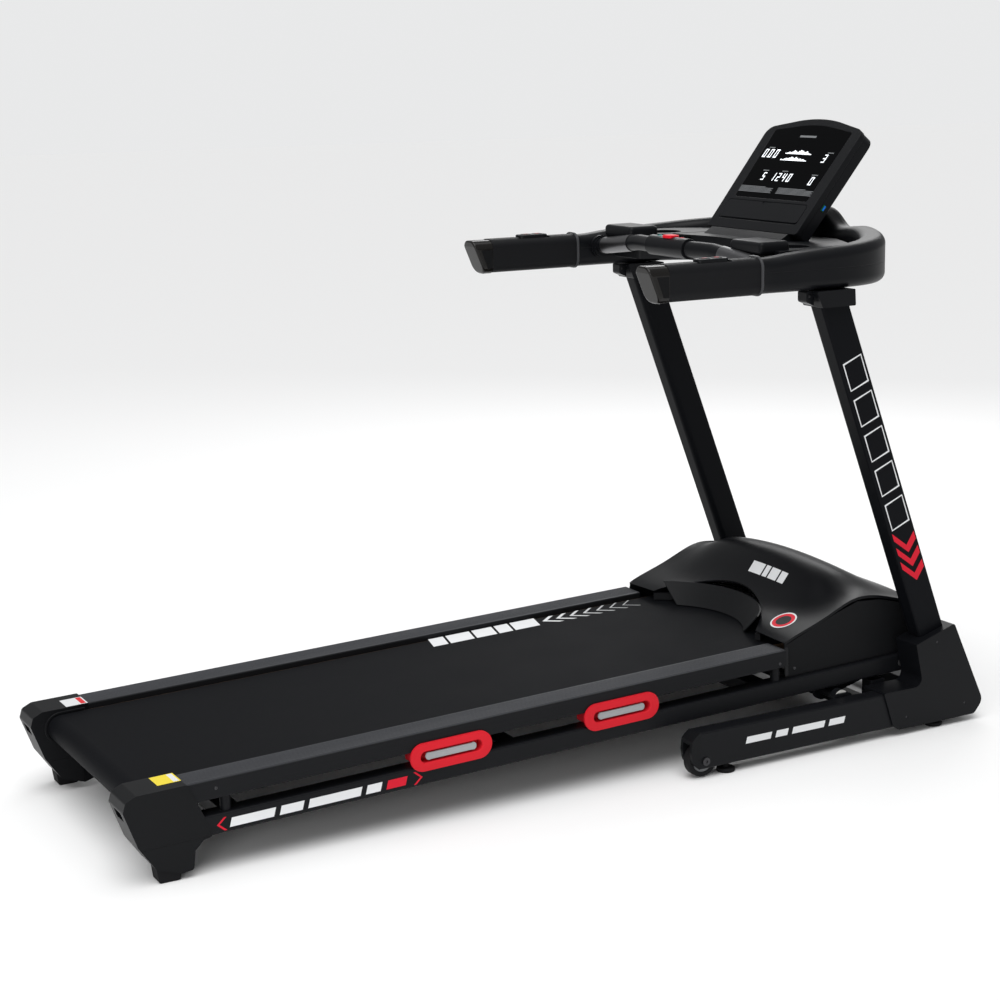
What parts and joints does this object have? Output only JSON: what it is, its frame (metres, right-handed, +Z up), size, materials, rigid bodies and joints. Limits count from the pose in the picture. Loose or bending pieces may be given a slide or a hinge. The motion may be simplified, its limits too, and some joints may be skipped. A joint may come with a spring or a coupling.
{
  "type": "treadmill",
  "caption": "Folding motorised home treadmill: cushioned running deck with side rails, motor hood, raked uprights, U-shaped handlebar, pulse bar and tilted console.",
  "frame": {"origin": "centre of the bounding box on the floor, under the running deck", "axes": "+X towards the console end, +Z up, -Y is the user's right-hand side"},
  "size_m": [1.8991, 0.78, 1.2852],
  "materials": {
    "frame_paint": "satin black powder coat",
    "black_plastic": "fine-textured black",
    "satin_plastic": "satin black moulded",
    "hood_plastic": "semi-gloss black",
    "smoke_plastic": "smoky gloss",
    "screen_glass": "gloss black panel",
    "grip_foam": "soft-touch black",
    "rail_aluminium": "ribbed, dark anodised",
    "belt_rubber": "matte black belt surface",
    "board_wood": "waxed fibreboard",
    "cushion_red": "matte red elastomer",
    "foot_rubber": "matte",
    "wheel_grey": "hard grey wheel",
    "nylon_white": "nylon",
    "key_black": "satin key",
    "safety_red": "glossy red",
    "sensor_steel": "brushed contact plate",
    "bolt_steel": "blackened steel",
    "shaft_steel": "ground steel",
    "motor_metal": "black painted motor",
    "pulley_metal": "machined casting",
    "drive_rubber": "ribbed drive belt",
    "board_green": "solder-mask green",
    "controller_metal": "finned case"
  },
  "bodies": {
    "base": {"base_tube_right": "frame_paint", "base_tube_left": "frame_paint", "base_cross_frame": "frame_paint", "base_tube_caps": "black_plastic", "base_feet": "foot_rubber", "boot_cover_right": "satin_plastic", "boot_cover_left": "satin_plastic", "upright_right": "frame_paint", "upright_left": "frame_paint", "upright_collars": "satin_plastic", "frame_bolts": "bolt_steel", "handlebar_right": "satin_plastic", "handlebar_left": "satin_plastic", "grips": "grip_foam", "grip_caps": "smoke_plastic", "grip_keypads": "black_plastic", "pulse_bar": "satin_plastic", "pulse_hub": "satin_plastic", "pulse_sensors": "sensor_steel", "console_base": "black_plastic", "console_shell": "black_plastic", "console_bezel": "black_plastic", "screen": "screen_glass", "circuit_board": "board_green"},
    "lift": {"lift_frame": "frame_paint"},
    "fold_shaft": {"fold_shaft": "shaft_steel"},
    "lift_motor": {"lift_motor": "motor_metal"},
    "lift_rod": {"lift_rod": "shaft_steel"},
    "front_roller": {"front_roller": "shaft_steel"},
    "rear_roller": {"rear_roller": "shaft_steel"},
    "motor_pulley": {"motor_pulley": "pulley_metal"},
    "wheel_right": {"transport_wheel_right": "wheel_grey"},
    "wheel_left": {"transport_wheel_left": "wheel_grey"},
    "speed_down": {"speed_down_key": "key_black"},
    "speed_up": {"speed_up_key": "key_black"},
    "incline_down": {"incline_down_key": "key_black"},
    "incline_up": {"incline_up_key": "key_black"},
    "safety_key": {"safety_key": "safety_red"},
    "tablet_flap": {"tablet_flap": "black_plastic"},
    "power_switch": {"power_rocker": "key_black"},
    "deck": {"deck_tube_right": "frame_paint", "deck_tube_left": "frame_paint", "deck_cross_members": "frame_paint", "deck_board": "board_wood", "side_rail_right": "rail_aluminium", "side_rail_left": "rail_aluminium", "rail_posts": "frame_paint", "cushions": "cushion_red", "rear_cap_right": "satin_plastic", "rear_cap_left": "satin_plastic", "rear_feet": "foot_rubber", "walking_belt": "belt_rubber", "drive_motor": "motor_metal", "drive_belt": "drive_rubber", "motor_controller": "controller_metal", "hood_top": "hood_plastic", "hood_apron": "satin_plastic", "hood_sides": "black_plastic", "belly_pan": "frame_paint", "power_inlet": "black_plastic"}
  },
  "joints": [
    {"name": "incline", "type": "hinge", "parent": "base", "child": "lift", "pos_m": [0.605, 0, 0.092], "axis": [0, -1, 0], "range_deg": [0, 35]},
    {"name": "deck_levelling", "type": "hinge", "parent": "lift", "child": "fold_shaft", "pos_m": [0.78525, 0, 0.13663], "axis": [0, 1, 0], "range_deg": [0, 32]},
    {"name": "fold", "type": "hinge", "parent": "fold_shaft", "child": "deck", "pos_m": [0.78525, 0, 0.13663], "axis": [0, 1, 0], "range_deg": [0, 57]},
    {"name": "lift_motor_tilt", "type": "hinge", "parent": "base", "child": "lift_motor", "pos_m": [0.85, 0, 0.042], "axis": [0, 1, 0], "range_deg": [0, 9]},
    {"name": "lift_rod_travel", "type": "slide", "parent": "lift_motor", "child": "lift_rod", "axis": [-0.8992, 0, 0.4376], "range_m": [0, 0.053]},
    {"name": "front_roller_spin", "type": "hinge", "parent": "deck", "child": "front_roller", "pos_m": [0.56991, 0, 0.17819], "axis": [0, 1, 0], "continuous": true},
    {"name": "rear_roller_spin", "type": "hinge", "parent": "deck", "child": "rear_roller", "pos_m": [-0.88943, 0, 0.13436], "axis": [0, 1, 0], "continuous": true},
    {"name": "motor_pulley_spin", "type": "hinge", "parent": "deck", "child": "motor_pulley", "pos_m": [0.73896, 0, 0.21228], "axis": [0, 1, 0], "continuous": true},
    {"name": "wheel_right_spin", "type": "hinge", "parent": "base", "child": "wheel_right", "pos_m": [0.228, -0.366, 0.037], "axis": [0, 1, 0], "continuous": true},
    {"name": "wheel_left_spin", "type": "hinge", "parent": "base", "child": "wheel_left", "pos_m": [0.228, 0.366, 0.037], "axis": [0, 1, 0], "continuous": true},
    {"name": "speed_down_press", "type": "slide", "parent": "base", "child": "speed_down", "axis": [0, 0, -1], "range_m": [0, 0.0012], "stiffness_N_per_m": 500},
    {"name": "speed_up_press", "type": "slide", "parent": "base", "child": "speed_up", "axis": [0, 0, -1], "range_m": [0, 0.0012], "stiffness_N_per_m": 500},
    {"name": "incline_down_press", "type": "slide", "parent": "base", "child": "incline_down", "axis": [0, 0, -1], "range_m": [0, 0.0012], "stiffness_N_per_m": 500},
    {"name": "incline_up_press", "type": "slide", "parent": "base", "child": "incline_up", "axis": [0, 0, -1], "range_m": [0, 0.0012], "stiffness_N_per_m": 500},
    {"name": "safety_key_pull", "type": "slide", "parent": "base", "child": "safety_key", "axis": [0, 0, 1], "range_m": [0, 0.03]},
    {"name": "tablet_flap_fold", "type": "hinge", "parent": "base", "child": "tablet_flap", "pos_m": [0.62232, 0, 1.07649], "axis": [0, -1, 0], "range_deg": [0, 80]},
    {"name": "power_switch_rock", "type": "hinge", "parent": "deck", "child": "power_switch", "pos_m": [0.84364, 0.222, 0.19141], "axis": [0, -1, 0], "range_deg": [0, 18]}
  ],
  "couplings": [
    {"joint": "deck_levelling", "follows": "incline", "ratio": 0.90429},
    {"joint": "lift_motor_tilt", "follows": "incline", "ratio": 0.24034},
    {"joint": "lift_rod_travel", "follows": "incline", "m_per_rad": 0.08461},
    {"joint": "rear_roller_spin", "follows": "front_roller_spin", "ratio": 1},
    {"joint": "motor_pulley_spin", "follows": "front_roller_spin", "ratio": 2.1111}
  ]
}
